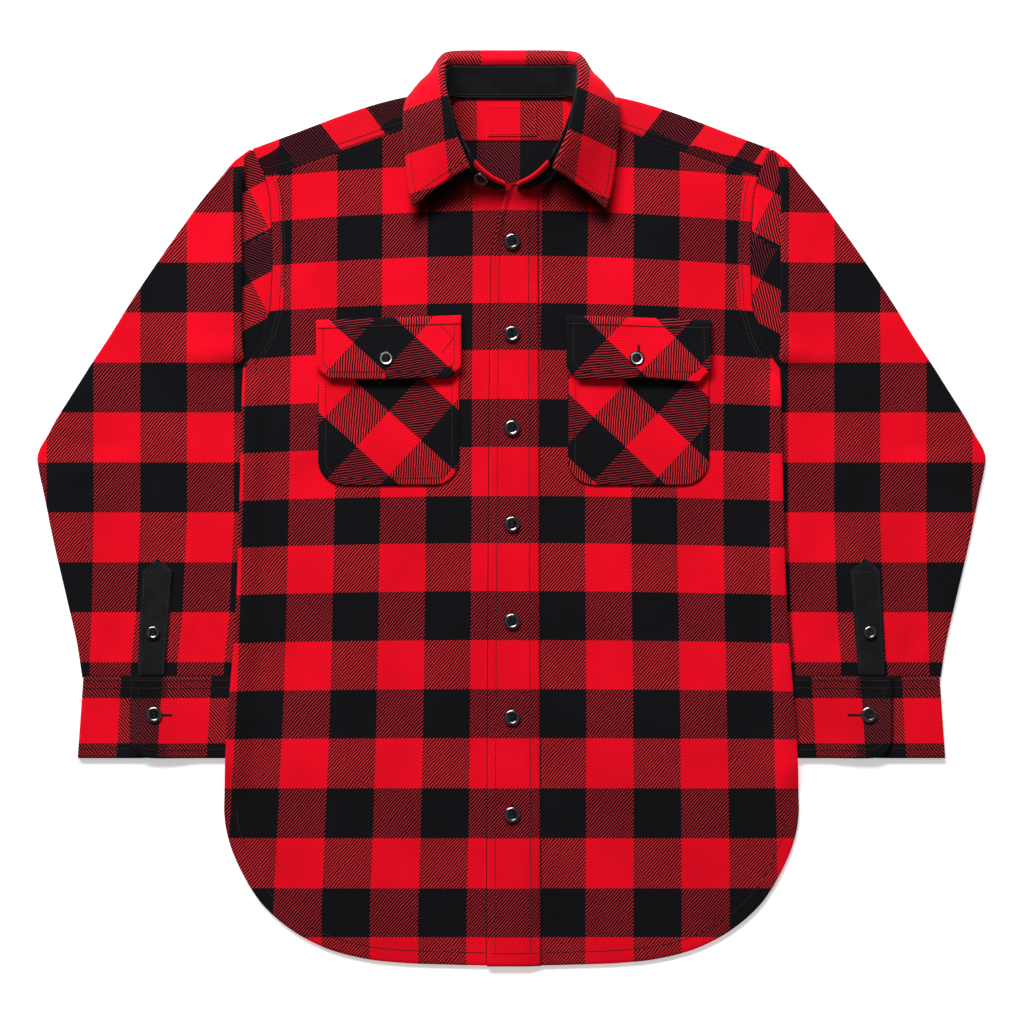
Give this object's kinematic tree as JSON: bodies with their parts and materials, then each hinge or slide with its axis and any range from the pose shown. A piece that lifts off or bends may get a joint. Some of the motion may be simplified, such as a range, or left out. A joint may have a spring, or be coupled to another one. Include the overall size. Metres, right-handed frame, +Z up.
{
  "type": "flannel shirt",
  "caption": "Buttoned flannel overshirt laid flat on its back, arms down, with collar, chest pockets with flaps and buttoned cuffs.",
  "frame": {"origin": "middle of the shirt's overall box, on the surface that it lies on", "axes": "+Z up, away from the surface; +Y from the hem towards the collar; +X towards the wearer's left sleeve"},
  "size_m": [0.8914, 0.8615, 0.0409],
  "materials": {
    "body_cloth": "brushed cotton twill in a large two-colour check, matt",
    "sleeve_cloth": "brushed cotton twill in a large two-colour check, matt",
    "cuff_cloth": "brushed cotton twill in a large two-colour check, matt",
    "pocket_cloth": "the same checked twill cut on the bias, matt",
    "collar_cloth": "the same checked twill, matt",
    "trim_cloth": "plain black brushed cotton, matt",
    "label_cloth": "plain bare cloth patch, matt",
    "button": "dark glossy resin with four holes"
  },
  "bodies": {
    "root": {"back": "body_cloth", "front_right": "body_cloth", "front_left": "body_cloth", "placket": "body_cloth", "yoke": "body_cloth", "yoke_facing": "body_cloth", "neck_label": "label_cloth", "sleeve_right": "sleeve_cloth", "sleeve_left": "sleeve_cloth", "cuff_right": "cuff_cloth", "cuff_left": "cuff_cloth", "gauntlet_right": "trim_cloth", "gauntlet_left": "trim_cloth", "pocket_right": "pocket_cloth", "pocket_left": "pocket_cloth", "flap_right": "pocket_cloth", "flap_left": "pocket_cloth", "collar_stand": "trim_cloth", "collar": "collar_cloth", "button_front_1": "button", "button_front_2": "button", "button_front_3": "button", "button_front_4": "button", "button_front_5": "button", "button_front_6": "button", "button_front_7": "button", "button_stand": "button", "button_pocket_right": "button", "button_pocket_left": "button", "button_cuff_right": "button", "button_cuff_left": "button", "button_gauntlet_right": "button", "button_gauntlet_left": "button"}
  },
  "joints": []
}
